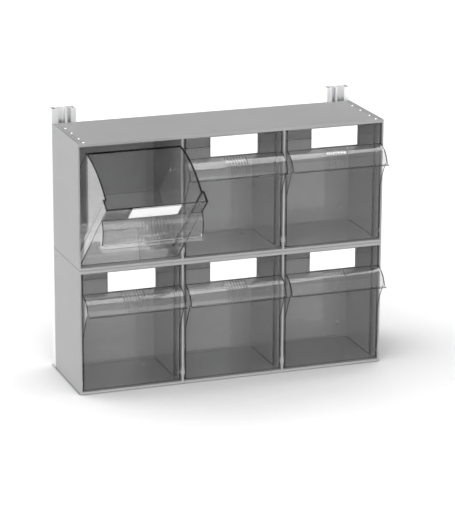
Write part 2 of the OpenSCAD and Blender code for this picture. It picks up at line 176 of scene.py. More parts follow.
class Solid:
    """A closed shape in millimetres that mesh operators make, round, join and cut."""

    def __init__(self) -> None:
        """Starts an empty shape."""
        self.bm = bmesh.new()

    @classmethod
    def block(cls, low: Place, high: Place) -> "Solid":
        """A box.

        Args:
            low: Its lowest corner.
            high: Its highest corner.

        Returns:
            The closed shape.
        """
        made = cls()
        corners = bmesh.ops.create_cube(made.bm, size=1.0)["verts"]
        low_corner, high_corner = Vector(low), Vector(high)
        bmesh.ops.scale(made.bm, vec=high_corner - low_corner, verts=corners)
        bmesh.ops.translate(made.bm, vec=(low_corner + high_corner) / 2, verts=corners)
        return made

    @classmethod
    def drawn(cls, outline: Iterable[Point], axis: Axis, start: float, stop: float) -> "Solid":
        """A flat outline drawn out along an axis.

        Args:
            outline: Corners of the outline in order, as Axis.point takes them.
            axis: Direction in which it is drawn out.
            start: Place of the first end along the axis.
            stop: Place of the other end.

        Returns:
            The closed shape.
        """
        made = cls()
        ring = [made.bm.verts.new(axis.point(a, b, start)) for a, b in outline]
        face = made.bm.faces.new(ring)
        grown = bmesh.ops.extrude_face_region(made.bm, geom=[face])["geom"]
        tips = [part for part in grown if isinstance(part, bmesh.types.BMVert)]
        bmesh.ops.translate(made.bm, vec=axis.step(stop - start), verts=tips)
        bmesh.ops.recalc_face_normals(made.bm, faces=made.bm.faces)
        return made

    @classmethod
    def turned(cls, outline: Iterable[Point], steps: int = 40) -> "Solid":
        """A lathe-turned shape about Z.

        Args:
            outline: Open line of (radius, height) points; ends at radius 0 close the shape.
            steps: Number of sides round the axis.

        Returns:
            The closed shape.
        """
        made = cls()
        line = [made.bm.verts.new((radius, 0, height)) for radius, height in outline]
        edges = [made.bm.edges.new(pair) for pair in zip(line, line[1:])]
        if line[0].co.x > 0:
            edges.append(made.bm.edges.new((line[-1], line[0])))
        bmesh.ops.spin(
            made.bm, geom=line + edges, cent=(0, 0, 0), axis=(0, 0, 1),
            angle=math.tau, steps=steps, use_merge=True, use_duplicate=False,
        )
        bmesh.ops.remove_doubles(made.bm, verts=made.bm.verts, dist=WELD_DISTANCE)
        bmesh.ops.recalc_face_normals(made.bm, faces=made.bm.faces)
        return made

    @classmethod
    def peg(cls, radius: float, length: float, steps: int = 40) -> "Solid":
        """A round bar that stands on Z = 0."""
        return cls.turned([(0, 0), (radius, 0), (radius, length), (0, length)], steps)

    @classmethod
    def rod(cls, x0: float, x1: float, radius: float, centre: Point, steps: int = 40) -> "Solid":
        """A round bar along X, from x0 to x1, round a (y, z) centre."""
        lying = Matrix.Translation((x0, *centre)) @ Matrix.Rotation(QUARTER_TURN, 4, "Y")
        return cls.peg(radius, x1 - x0, steps).moved(lying)

    def moved(self, matrix: Matrix) -> "Solid":
        """Puts the shape somewhere else."""
        bmesh.ops.transform(self.bm, matrix=matrix, verts=self.bm.verts)
        return self

    def shifted(self, x: float, y: float, z: float) -> "Solid":
        """Moves the shape by a distance along each axis."""
        return self.moved(Matrix.Translation((x, y, z)))

    def copy(self) -> "Solid":
        """Doubles the shape.

        Returns:
            A second shape of the same form.
        """
        made = Solid()
        made.bm = self.bm.copy()
        return made

    def mirrored(self) -> "Solid":
        """Makes the shape's twin on the other side of X = 0.

        Returns:
            The twin.
        """
        made = self.copy().moved(Matrix.Scale(-1, 4, (1, 0, 0)))
        bmesh.ops.reverse_faces(made.bm, faces=made.bm.faces)
        return made

    def gathered(self, others: Iterable["Solid"]) -> "Solid":
        """Takes in shapes that don't touch this one.

        Args:
            others: The shapes.

        Returns:
            The same shape, with the others in it.
        """
        for other in others:
            mesh = bpy.data.meshes.new("gathered")
            other.bm.to_mesh(mesh)
            self.bm.from_mesh(mesh)
            bpy.data.meshes.remove(mesh)
        return self

    def marked(self, pick: Pick, finish: int = 1) -> "Solid":
        """Gives some faces another of the piece's finishes.

        Args:
            pick: Says yes to a face's centre and normal.
            finish: Number of the finish, where the piece's first one is 0.

        Returns:
            The same shape.
        """
        for face in self.bm.faces:
            if pick(face.calc_center_median(), face.normal):
                face.material_index = finish
        return self

    def rounded(self, radius: float, pick: Pick, segments: int = 3) -> "Solid":
        """Rounds some edges.

        Args:
            radius: Width of the rounding.
            pick: Says yes to an edge's middle and direction.
            segments: Number of faces across the rounding.

        Returns:
            The same shape.
        """
        chosen = []
        for edge in self.bm.edges:
            first, last = (vert.co for vert in edge.verts)
            if pick((first + last) / 2, (last - first).normalized()):
                chosen.append(edge)
        self._bevel(chosen, radius, segments)
        return self

    def eased(self, radius: float, shortest: float, segments: int = 2) -> "Solid":
        """Takes the sharpness off every sharp edge that is long enough.

        Args:
            radius: Width of the easing.
            shortest: Edges shorter than this stay sharp.
            segments: Number of faces across the easing.

        Returns:
            The same shape.
        """
        self.cleaned()
        chosen = [
            edge for edge in self.bm.edges
            if edge.is_manifold and edge.calc_face_angle(0) > SMOOTH_BELOW and edge.calc_length() > shortest
        ]
        self._bevel(chosen, radius, segments)
        return self

    def _bevel(self, edges: list[bmesh.types.BMEdge], radius: float, segments: int) -> None:
        """Bevels these edges."""
        bmesh.ops.bevel(
            self.bm, geom=edges, offset=radius, offset_type="OFFSET", segments=segments,
            profile=0.5, affect="EDGES", material=-1, clamp_overlap=True,
        )

    def cleaned(self) -> "Solid":
        """Merges doubles and makes one face of each flat area.

        Returns:
            The same shape.
        """
        bmesh.ops.remove_doubles(self.bm, verts=self.bm.verts, dist=WELD_DISTANCE)
        bmesh.ops.dissolve_limit(
            self.bm, angle_limit=FLAT_WITHIN, use_dissolve_boundaries=False,
            verts=self.bm.verts, edges=self.bm.edges, delimit={"MATERIAL"},
        )
        return self

    def joined(self, *others: "Solid") -> "Solid":
        """Joins overlapping shapes into one skin."""
        return self._combined(others, "UNION")

    def cut(self, *others: "Solid") -> "Solid":
        """Cuts shapes out of this one."""
        return self._combined(others, "DIFFERENCE")

    def _combined(self, tools: Iterable["Solid"], operation: str) -> "Solid":
        """Runs one exact boolean after another, and keeps every shape's finishes.

        Args:
            tools: The other shapes.
            operation: Blender's name of the boolean.

        Returns:
            The same shape.
        """
        for tool in tools:
            target, cutter = self._as_object("target"), tool._as_object("cutter")
            step = target.modifiers.new("combine", "BOOLEAN")
            step.object, step.operation, step.solver = cutter, operation, "EXACT"
            bpy.context.view_layer.update()
            shaped = target.evaluated_get(bpy.context.evaluated_depsgraph_get())
            result = bpy.data.meshes.new_from_object(shaped)
            self.bm.clear()
            self.bm.from_mesh(result)
            bpy.data.meshes.remove(result)
            for helper in (target, cutter):
                mesh = helper.data
                bpy.data.objects.remove(helper)
                bpy.data.meshes.remove(mesh)
        return self

    def _as_object(self, name: str) -> bpy.types.Object:
        """Makes a helper object for a boolean.

        Args:
            name: The helper's name.

        Returns:
            An object with this shape and three blank finishes.
        """
        mesh = bpy.data.meshes.new(name)
        self.bm.to_mesh(mesh)
        for slot in ("first_finish", "second_finish", "third_finish"):
            mesh.materials.append(bpy.data.materials.get(slot) or bpy.data.materials.new(slot))
        return scene_object(name, mesh)


class Nodes:
    """Short calls for wiring the nodes of a material or a world."""

    def __init__(self, owner: Material | bpy.types.World) -> None:
        """Empties the owner's node tree."""
        owner.use_nodes = True
        self.owner, self.tree = owner, owner.node_tree
        self.tree.nodes.clear()

    def add(self, kind: str, inputs: dict[str | int, object], **settings: object) -> bpy.types.Node:
        """Adds a node.

        Args:
            kind: Blender's name of the node type.
            inputs: Values or output sockets for its inputs.
            settings: The node's own properties.

        Returns:
            The new node.
        """
        node = self.tree.nodes.new(kind)
        for key, value in settings.items():
            setattr(node, key, value)
        for key, value in inputs.items():
            if isinstance(value, Socket):
                self.tree.links.new(value, node.inputs[key])
            else:
                node.inputs[key].default_value = value
        return node

    def noise(self, scale: float, detail: float = 3.0, stretch: Place = (1, 1, 1)) -> Socket:
        """Noise on the piece's own coordinates.

        Args:
            scale: Cycles for each metre.
            detail: How many finer layers it has.
            stretch: Factor on the scale along each axis.

        Returns:
            The socket of its value.
        """
        place = self.add("ShaderNodeTexCoord", {})
        spread = self.add("ShaderNodeMapping", {"Vector": place.outputs["Object"], "Scale": stretch})
        settings = {"Vector": spread.outputs["Vector"], "Scale": scale, "Detail": detail}
        return self.add("ShaderNodeTexNoise", settings).outputs["Fac"]

    def ranged(self, noise: Socket, low: float, high: float) -> Socket:
        """Noise spread over a range of values.

        Args:
            noise: Its socket.
            low: Value in its hollows.
            high: Value on its crests.

        Returns:
            The socket of the new value.
        """
        settings = {"Value": noise, "From Min": 0.3, "From Max": 0.7, "To Min": low, "To Max": high}
        return self.add("ShaderNodeMapRange", settings).outputs["Result"]

    def tinted(self, noise: Socket, colour: Colour, spread: float) -> Socket:
        """A colour that runs a little lighter and darker with some noise.

        Args:
            noise: Its socket.
            colour: The colour in the middle of the range.
            spread: Share by which it changes each way.

        Returns:
            The socket of the colour.
        """
        dark = [channel * (1 - spread) for channel in colour] + [1.0]
        light = [min(1.0, channel * (1 + spread)) for channel in colour] + [1.0]
        settings = {0: self.ranged(noise, 0, 1), 6: dark, 7: light}
        return self.add("ShaderNodeMix", settings, data_type="RGBA").outputs[2]

    def relief(self, height: Socket, depth_mm: float) -> Socket:
        """Surface relief of that depth."""
        settings = {"Height": height, "Distance": depth_mm * MM, "Strength": 1.0}
        return self.add("ShaderNodeBump", settings).outputs["Normal"]

    def mixed(self, share: Socket, first: bpy.types.Node, second: bpy.types.Node) -> bpy.types.Node:
        """A shader that is the first where share is 0, and the second where it is 1."""
        return self.add("ShaderNodeMixShader", {0: share, 1: first.outputs[0], 2: second.outputs[0]})

    def done(self, shader: bpy.types.Node, kind: str = "Material") -> Material | bpy.types.World:
        """Closes the tree of a Material or World, and gives its owner."""
        self.add(f"ShaderNodeOutput{kind}", {"Surface": shader.outputs[0]})
        return self.owner


@dataclass(frozen=True)
class MouldedPlastic:
    """Opaque moulded plastic or paint, with fine grain and faint flow marks."""

    name: str
    colour: Colour
    roughness: float = 0.46
    roughness_spread: float = 0.05
    grain_per_m: float = 1400.0
    grain_depth: float = 0.006
    flow_per_m: float = 9.0
    flow_stretch: Place = (1, 1, 2)
    flow_tint: float = 0.025
    ior: float = 1.33

    def material(self) -> Material:
        """Builds the finish.

        Returns:
            The material.
        """
        nodes = Nodes(bpy.data.materials.new(self.name))
        grain, flow = nodes.noise(self.grain_per_m), nodes.noise(self.flow_per_m, stretch=self.flow_stretch)
        rough, spread = self.roughness, self.roughness_spread
        return nodes.done(nodes.add("ShaderNodeBsdfPrincipled", {
            "Base Color": nodes.tinted(flow, self.colour, self.flow_tint),
            "Roughness": nodes.ranged(grain, rough - spread, rough + spread),
            "Normal": nodes.relief(grain, self.grain_depth),
            "IOR": self.ior,
        }))


@dataclass(frozen=True)
class ClearPlastic:
    """Polished clear plastic that lets the lamps' light through to what is behind it."""

    name: str
    colour: Colour
    shade_through: Colour
    roughness: float = 0.015
    roughness_range: Point = (0.6, 1.6)
    ior: float = 1.49
    haze_per_m: float = 60.0
    haze_stretch: Place = (1, 1, 1.6)
    haze_tint: float = 0.015

    def material(self) -> Material:
        """Builds the finish.

        Returns:
            The material.
        """
        nodes = Nodes(bpy.data.materials.new(self.name))
        haze = nodes.noise(self.haze_per_m, stretch=self.haze_stretch)
        polished, dull = (self.roughness * share for share in self.roughness_range)
        surface = nodes.add("ShaderNodeBsdfPrincipled", {
            "Base Color": nodes.tinted(haze, self.colour, self.haze_tint),
            "Roughness": nodes.ranged(haze, polished, dull),
            "IOR": self.ior,
            "Transmission Weight": 1.0,
        })
        passing = nodes.add("ShaderNodeBsdfTransparent", {"Color": (*self.shade_through, 1.0)})
        rays = nodes.add("ShaderNodeLightPath", {})
        return nodes.done(nodes.mixed(rays.outputs["Is Shadow Ray"], surface, passing))


@dataclass(frozen=True)
class PaperCard:
    """Bare white card with a faint fibre grain."""

    name: str
    colour: Colour
    roughness_range: Point = (0.78, 0.9)
    fibres_per_m: float = 900.0
    fibre_layers: float = 6.0
    fibre_stretch: Place = (0.35, 1, 1)
    fibre_tint: float = 0.012
    fibre_depth: float = 0.01

    def material(self) -> Material:
        """Builds the finish.

        Returns:
            The material.
        """
        nodes = Nodes(bpy.data.materials.new(self.name))
        fibre = nodes.noise(self.fibres_per_m, self.fibre_layers, self.fibre_stretch)
        return nodes.done(nodes.add("ShaderNodeBsdfPrincipled", {
            "Base Color": nodes.tinted(fibre, self.colour, self.fibre_tint),
            "Roughness": nodes.ranged(fibre, *self.roughness_range),
            "Normal": nodes.relief(fibre, self.fibre_depth),
        }))


@dataclass(frozen=True)
class Metal:
    """Bare metal with fine drawing or turning marks along one direction."""

    name: str
    colour: Colour
    roughness: float
    marks: Place
    roughness_spread: float = 0.06
    marks_per_m: float = 700.0
    mark_depth: float = 0.004
    clouds_per_m: float = 14.0
    cloud_tint: float = 0.02

    def material(self) -> Material:
        """Builds the finish.

        Returns:
            The material.
        """
        nodes = Nodes(bpy.data.materials.new(self.name))
        lines, clouds = nodes.noise(self.marks_per_m, stretch=self.marks), nodes.noise(self.clouds_per_m)
        rough, spread = self.roughness, self.roughness_spread
        return nodes.done(nodes.add("ShaderNodeBsdfPrincipled", {
            "Base Color": nodes.tinted(clouds, self.colour, self.cloud_tint),
            "Roughness": nodes.ranged(lines, rough - spread, rough + spread),
            "Normal": nodes.relief(lines, self.mark_depth),
            "Metallic": 1.0,
        }))


HOUSING_GREY = MouldedPlastic("light_grey_moulding", (0.34, 0.34, 0.34))
CLEAR = ClearPlastic("clear_moulding", (0.93, 0.93, 0.93), (0.92, 0.92, 0.92), ior=1.45)
# Painted shade: near-black clear plastic on the bins' edge faces draws the dark lines that refraction gives
# there.
CLEAR_PAINTED_DARK_EDGE = ClearPlastic("clear_moulding_painted_dark_edge", (0.07, 0.07, 0.07), (0.5, 0.5, 0.5), roughness=0.05)
# Painted shade: almost black clear plastic, with little reflection, draws the open bin's rim as the dark
# line that refraction gives there.
CLEAR_PAINTED_DARK_RIM = ClearPlastic(
    "clear_moulding_painted_dark_rim", (0.004, 0.004, 0.004), (0.5, 0.5, 0.5), roughness=0.05, ior=1.18,
)
CLEAR_COVER = ClearPlastic("clear_label_cover", (0.99, 0.99, 0.99), (0.99, 0.99, 0.99), ior=1.12)
# Painted shade: a greyer clear plastic on the cover's ends stands in for the darker line that refraction
# gives there.
COVER_PAINTED_EDGE_SHADE = ClearPlastic(
    "clear_label_cover_painted_edge_shade", (0.8, 0.8, 0.8), (0.9, 0.9, 0.9), roughness=0.05, ior=1.12,
)
WHITE_CARD = PaperCard("white_card", (0.97, 0.97, 0.97))
ANODISED = Metal("anodised_aluminium", (0.86, 0.865, 0.87), 0.36, (1, 1, 0.02))
BRIGHT_PINS = Metal("bright_steel_pins", (0.9, 0.9, 0.9), 0.22, (1, 1, 1), marks_per_m=2500.0)
GREY_FIXINGS = MouldedPlastic("grey_coated_steel", (0.33, 0.33, 0.33), roughness=0.4)


@dataclass(frozen=True)
class PieceFacts:
    """Name, body, material slot and stood-in node of a piece."""

    name: str
    body: str
    slot: str
    stands_for: str


def make_piece(solid: Solid, facts: PieceFacts, finishes: list[Material]) -> Piece:
    """Turns a shape into a finished piece of the unit.

    Args:
        solid: The shape, in millimetres and already in its place.
        facts: Its name, body, material slot and the node that it stands for.
        finishes: Its materials, in the order in which its faces are marked.

    Returns:
        The new object.
    """
    solid.moved(Matrix.Scale(MM, 4))
    mesh = bpy.data.meshes.new(facts.name)
    solid.bm.to_mesh(mesh)
    for finish in finishes:
        mesh.materials.append(finish)
    mesh.shade_smooth()
    mesh.set_sharp_from_angle(angle=SMOOTH_BELOW)
    piece = scene_object(facts.name, mesh)
    weighted = piece.modifiers.new("face_weighted_normals", "WEIGHTED_NORMAL")
    weighted.keep_sharp = True
    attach(piece, facts.body)
    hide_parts(facts.stands_for)
    log.info("%s: %d faces, rides on %s", facts.name, len(mesh.polygons), facts.body)
    return piece


@dataclass
class Housing:
    """One storey of the rack, with three cells, bosses for the bins and a closed back."""

    half_width: float = 300.0
    depth: float = 168.0
    height: float = 240.0
    back_face: float = 165.0
    floor_top: float = 5.0
    lip_under: float = 234.0
    lip_depth: float = 5.0
    top_under: float = 236.0
    front_round: float = 1.5
    foot_round: float = 1.6
    easing: Point = (0.5, 4.0)  # width, and the shortest edge that has it
    pivot: Point = (9.0, 22.0)
    pivot_boss_radius: float = 8.0
    pivot_boss_face: float = 95.8
    bore_radius: float = 4.05
    bore_ends: Point = (94.0, 98.7)
    stop_boss: Point = (32.7, 169.038)
    stop_boss_radius: float = 3.0
    stop_boss_face: float = 93.0
    boss_root: float = 0.8
    rib_x: float = 61.0
    rib_half: float = 3.0
    rib_ends: Point = (115.0, 133.0)
    rib_top: float = 6.7
    hollow_half: float = 80.0
    hollow_ends: tuple[Point, ...] = ((10.0, 80.0), (88.0, 158.0))
    hollow_depth: float = 2.0
    groove_insets: tuple[float, ...] = (3.8, 10.0)
    groove_half: float = 0.65
    groove_ends: Point = (7.0, 162.0)
    groove_depth: float = 1.0
    pocket_half: float = 1.5
    pocket_length: float = 4.0
    pocket_depth: float = 1.5
    parting_ends: Point = (10.0, 165.0)
    parting_depth: float = 1.0
    parting_height: float = 0.5
    notch_length: float = 5.0
    notch_depth: float = 1.05
    notch_height: float = 1.3
    link_hole: Point = (154.0, 226.5)
    link_hole_radius: float = 1.75
    pin_inset: float = 13.0
    pin_places: tuple[float, ...] = (8.0, 38.5, 83.0, 123.0)
    pin_hole: Point = (1.55, 2.85)  # radius and depth
    pin_socket: Point = (2.6, 1.5)
    screw_x: float = 281.0
    screw_heights: tuple[float, ...] = (30.0, 210.0)
    screw_hole_radius: float = 3.6
    hole_sides: int = 24
    finish: MouldedPlastic = HOUSING_GREY

    def outer_block(self) -> Solid:
        """The whole storey before it is hollowed.

        Returns:
            A block with a rounded top front edge and a rounded foot.
        """
        top, front = self.height - PROUD, PROUD
        body = Solid.block((-self.half_width, 0, 0), (self.half_width, self.depth, self.height))
        body.rounded(
            self.front_round, lambda at, way: at.z > top and at.y < front and abs(way.x) > SQUARE_ON,
        )
        back = self.back_face
        return body.rounded(
            self.foot_round, lambda at, way: at.z < PROUD and at.y < back and abs(way.z) < SQUARE_ON,
        )

    def cell_space(self, cell: Cell) -> Solid:
        """Empty space of one cell, taller behind the front lip.

        Args:
            cell: The cell.

        Returns:
            The cutter.
        """
        middle = cell.corner.x
        outline = [
            (-PROUD, self.floor_top), (self.back_face, self.floor_top), (self.back_face, self.top_under),
            (self.lip_depth, self.top_under), (self.lip_depth, self.lip_under), (-PROUD, self.lip_under),
        ]
        return Solid.drawn(outline, Axis.X, middle - cell.wall(Side.LEFT), middle + cell.wall(Side.RIGHT))

    def bosses(self, cell: Cell) -> list[Solid]:
        """Bosses on both walls of a cell: one round each pivot, and one that stops the bin.

        Args:
            cell: The cell.

        Returns:
            The four bosses.
        """
        middle = cell.corner.x
        made = []
        for side in Side:
            root = middle + side.value * (cell.wall(side) + self.boss_root)
            for face, radius, centre in (
                (self.pivot_boss_face, self.pivot_boss_radius, self.pivot),
                (self.stop_boss_face, self.stop_boss_radius, self.stop_boss),
            ):
                ends = sorted((middle + side.value * face, root))
                made.append(Solid.rod(ends[0], ends[1], radius, centre))
        return made

    def floor_ribs(self, cell: Cell) -> list[Solid]:
        """Two low ribs on which the back of a closed bin comes to rest.

        Args:
            cell: The cell.

        Returns:
            The ribs.
        """
        (near, far), half, low = self.rib_ends, self.rib_half, self.floor_top - PROUD
        middles = (cell.corner.x - self.rib_x, cell.corner.x + self.rib_x)
        return [Solid.block((x - half, near, low), (x + half, far, self.rib_top)) for x in middles]

    def bores(self, cell: Cell) -> list[Solid]:
        """Blind bores for a bin's trunnions.

        Args:
            cell: The cell.

        Returns:
            The two cutters.
        """
        made = []
        for side in Side:
            ends = sorted(cell.corner.x + side.value * end for end in self.bore_ends)
            made.append(Solid.rod(ends[0], ends[1], self.bore_radius, self.pivot))
        return made

    def base_hollows(self, cell: Cell) -> list[Solid]:
        """Shallow hollows under the floor of one cell.

        Args:
            cell: The cell.

        Returns:
            The cutters.
        """
        left, right = cell.corner.x - self.hollow_half, cell.corner.x + self.hollow_half
        top = self.hollow_depth
        return [Solid.block((left, y0, -PROUD), (right, y1, top)) for y0, y1 in self.hollow_ends]

    def top_grooves(self) -> list[Solid]:
        """Fine grooves near the right end of the top, the outer one with a pocket at each end.

        Returns:
            The cutters.
        """
        near, far = self.groove_ends
        made = []
        for inset in self.groove_insets:
            x = self.half_width - inset
            made.append(Solid.block(
                (x - self.groove_half, near, self.height - self.groove_depth),
                (x + self.groove_half, far, self.height + PROUD),
            ))
        x = self.half_width - self.groove_insets[0]
        for y in (near, far - self.pocket_length):
            made.append(Solid.block(
                (x - self.pocket_half, y - LAP, self.height - self.pocket_depth),
                (x + self.pocket_half, y + self.pocket_length + LAP, self.height + PROUD),
            ))
        return made

    def parting_line(self) -> list[Solid]:
        """Line between the storeys, low on the right-hand side, with a notch at each end.

        Returns:
            The cutters.
        """
        near, far = self.parting_ends
        outside = self.half_width + PROUD
        made = [Solid.block(
            (self.half_width - self.parting_depth, near, -PROUD), (outside, far, self.parting_height),
        )]
        for y in (near, far - self.notch_length):
            made.append(Solid.block(
                (self.half_width - self.notch_depth, y - LAP, -PROUD),
                (outside, y + self.notch_length + LAP, self.notch_height),
            ))
        return made

    def end_holes(self) -> list[Solid]:
        """The right side wall's link hole, and a hole above and a socket below for each pin.

        Returns:
            The cutters.
        """
        inside = self.half_width - 4 * PROUD
        made = [Solid.rod(
            inside, self.half_width + PROUD, self.link_hole_radius, self.link_hole, self.hole_sides,
        )]
        x = self.half_width - self.pin_inset
        (radius, depth), (wide, shallow) = self.pin_hole, self.pin_socket
        for y in self.pin_places:
            hole = Solid.peg(radius, depth + PROUD, self.hole_sides)
            made.append(hole.shifted(x, y, self.height - depth))
            made.append(Solid.peg(wide, shallow + PROUD, self.hole_sides).shifted(x, y, -PROUD))
        return made

    def screw_holes(self) -> list[Solid]:
        """Clearance holes through the back wall.

        Returns:
            The four cutters.
        """
        wall, lying = self.depth - self.back_face, Matrix.Rotation(QUARTER_TURN, 4, "X")
        return [
            Solid.peg(self.screw_hole_radius, 2 * wall, self.hole_sides)
            .moved(Matrix.Translation((x, self.depth + wall / 2, z)) @ lying)
            for x in (-self.screw_x, self.screw_x) for z in self.screw_heights
        ]

    def shape(self) -> Solid:
        """The whole moulding.

        Returns:
            The storey, with its front plane at Y = 0 and its underside at Z = 0.
        """
        body = self.outer_block()
        storey = [cell for cell in CELLS if cell.row is Row.BOTTOM]
        for cell in storey:
            body.cut(self.cell_space(cell))
        body.eased(*self.easing)
        for cell in storey:
            body.joined(*self.bosses(cell), *self.floor_ribs(cell))
            body.cut(*self.bores(cell), *self.base_hollows(cell))
        for detail in [*self.top_grooves(), *self.parting_line(), *self.end_holes()]:
            body.cut(detail, detail.mirrored())
        return body.cut(*self.screw_holes()).cleaned()

    def build(self) -> list[Piece]:
        """Makes both storeys from one moulding.

        Returns:
            The two pieces.
        """
        moulding, finish = self.shape(), self.finish.material()
        pieces = []
        for row, name in ((Row.BOTTOM, "housing_lower"), (Row.TOP, "housing_upper")):
            placed = moulding.copy().shifted(0, FRONT_PLANE_Y, row.value * self.height)
            facts = PieceFacts(f"moulded_{name}", "rack", "housing", name)
            pieces.append(make_piece(placed, facts, [finish]))
        return pieces


@dataclass
class TiltBin:
    """Clear bin with a wide front band, a curved finger lip, side webs and trunnions."""

    band_half: float = 95.2
    body_half: float = 91.0
    body_front: float = 10.0
    band_depth: float = 26.0
    wall: float = 2.0
    bottom: float = 7.0
    foot_front: float = 8.8
    foot_back: float = 3.4
    strip_top: float = 233.5
    rim_start: Point = (23.8, 227.5)
    back_foot: float = 141.0
    back_top: Point = (146.0, 175.8)
    hollow_top: float = 245.0
    back_corner: float = 3.5
    foot_corner: float = 2.0
    inner_corner: float = 2.0
    inner_foot: float = 1.2
    band_corner: float = 0.8
    foot_fillet: float = 1.6
    easing: Point = (0.3, 3.5)  # width, and the shortest edge that has it
    pivot: Point = (9.0, 22.0)
    rim_radius: float = 206.04
    rim_bead: Point = (2.8, 2.6)  # width and height
    lip_centre: Point = (6.0, 153.64)
    lip_radius: float = 41.3
    lip_start: float = 97.0
    lip_lead: float = 0.3
    lip_bottom: float = 162.5
    bead_reach: float = 42.3
    bead_height: float = 1.8
    bead_root: float = 3.0
    bead_corner: float = 0.6
    web_height: float = 56.0
    web_front: float = -26.3
    web_foot: float = 1.0
    web_curve: float = 1.25
    web_cap: Point = (167.3, 97.1)
    trunnion_radius: float = 4.0
    trunnion_end: float = 98.4
    lug: Point = (138.086, 96.287)
    lug_radius: float = 3.0
    lug_end: float = 95.0
    root: float = 1.4
    open_degrees: float = 48.5
    grip_ribs: int = 8
    grip_width: float = 40.0
    grip_height: float = 1.2
    grip_half: float = 1.5
    grip_root: float = 0.25
    grip_ends: Point = (104.0, 166.0)
    finish: ClearPlastic = CLEAR
    painted_dark_edge_finish: ClearPlastic = CLEAR_PAINTED_DARK_EDGE
    painted_shade_rim_finish: ClearPlastic = CLEAR_PAINTED_DARK_RIM

    def rim_angle(self, point: Point) -> float:
        """Angle of a point of the curved rim about the pivot, in degrees."""
        return math.degrees(math.atan2(point[1] - self.pivot[1], point[0] - self.pivot[0]))

    def band(self) -> Solid:
        """The wide band across the front, solid, with a sloping top at each side.

        Returns:
            The shape, with its back face marked for the painted dark edge, and its top marked for the open
            bin's painted dark rim.
        """
        outline = [
            (0, self.foot_front), (self.foot_back, self.bottom), (self.band_depth, self.bottom),
            (self.band_depth, self.rim_start[1] - 1), self.rim_start, (0, self.strip_top),
        ]
        made = Solid.drawn(outline, Axis.X, -self.band_half, self.band_half)
        return made.marked(lambda at, out: out.y > SQUARE_ON).marked(lambda at, out: out.z > FACES_UP, 2)

    def body(self) -> Solid:
        """The narrower part behind the band, solid, with a rim curved about the pivot.

        Returns:
            The shape, with its rim marked for the open bin's painted dark rim.
        """
        crest = (self.body_front, self.pivot[1] + self.rim_radius)
        rim = arc(self.pivot, self.rim_radius, self.rim_angle(self.back_top), self.rim_angle(crest), 28)
        outline = [(self.body_front, self.bottom), (self.back_foot, self.bottom), *rim]
        made = Solid.drawn(outline, Axis.X, -self.body_half, self.body_half)
        made.marked(lambda at, out: out.z > FACES_UP, 2)
        behind, low = self.back_foot - 1, self.bottom + 0.1
        made.rounded(self.back_corner, lambda at, way: at.y > behind and abs(way.z) > SQUARE_ON)
        return made.rounded(
            self.foot_corner, lambda at, way: at.z < low and (at.y > behind or abs(way.y) > SQUARE_ON),
        )

    def hollows(self) -> list[Solid]:
        """Space inside the body and inside the band.

        Returns:
            The two cutters.
        """
        inner, wide, wall = self.body_half - self.wall, self.band_half - self.wall, self.wall
        lean = (self.back_top[0] - self.back_foot) / (self.back_top[1] - self.bottom)
        floor, back, top = self.bottom + wall, self.back_foot - wall, self.hollow_top
        near, low = wall + 1, floor + 0.1

        def front_foot(at: Vector, way: Vector) -> bool:
            """Whether an edge is the front one along the floor."""
            return at.z < low and at.y < near and abs(way.x) > SQUARE_ON

        outline = [(wall, floor), (back, floor), (back + lean * (top - floor), top), (wall, top)]
        deep = Solid.drawn(outline, Axis.X, -inner, inner)
        deep.rounded(self.inner_corner, lambda at, way: at.y > self.band_depth and abs(way.z) > SQUARE_ON)
        deep.rounded(
            self.inner_foot, lambda at, way: at.z < low and (at.y > near or abs(way.x) < SQUARE_ON),
        )
        deep.rounded(self.foot_fillet, front_foot)
        front = Solid.block((-wide, wall + LAP, floor + LAP), (wide, self.band_depth - wall, top))
        # The faces this cutter leaves at the band's back take the painted dark edge.
        front.marked(lambda at, out: out.y > SQUARE_ON)
        front.rounded(self.foot_fillet, front_foot)
        front.rounded(self.band_corner, lambda at, way: at.y < near and abs(way.z) > SQUARE_ON)
        return [deep, front]

    def rim_beads(self) -> list[Solid]:
        """Slightly thicker edges along the right-hand side, the back and the front of the open top.

        Returns:
            The four beads, marked all over for the open bin's painted dark rim.
        """
        width, height = self.rim_bead
        first, last = self.rim_angle(self.back_top), self.rim_angle(self.rim_start)
        side = arc(self.pivot, self.rim_radius - LAP / 2, first, last, 26)
        side += reversed(arc(self.pivot, self.rim_radius - height, first, last, 26))
        y, z = self.back_top
        rise = self.rim_radius ** 2 - (y - width - self.pivot[0]) ** 2
        back = [
            (y - width, z - height), (y - 0.1, z - height), (y - LAP, z),
            (y - width, self.pivot[1] + math.sqrt(rise) - LAP),
        ]
        slope_end, slope_top = self.rim_start
        slope = [
            (LAP, self.strip_top - height), (slope_end, slope_top - height),
            (slope_end, slope_top - LAP), (LAP, self.strip_top - LAP),
        ]
        fall = (self.strip_top - slope_top) / slope_end * width
        strip = [
            (LAP, self.strip_top - height), (width, self.strip_top - height - fall),
            (width, self.strip_top - LAP - fall), (LAP, self.strip_top - LAP),
        ]
        body, band = self.body_half, self.band_half
        beads = [
            Solid.drawn(side, Axis.X, body - width, body - LAP / 2),
            Solid.drawn(back, Axis.X, -1.0, body - 0.5),
            Solid.drawn(slope, Axis.X, band - width, band - LAP / 2),
            Solid.drawn(strip, Axis.X, -1.0, band - 0.5),
        ]
        return [bead.marked(lambda at, out: True, 2) for bead in beads]

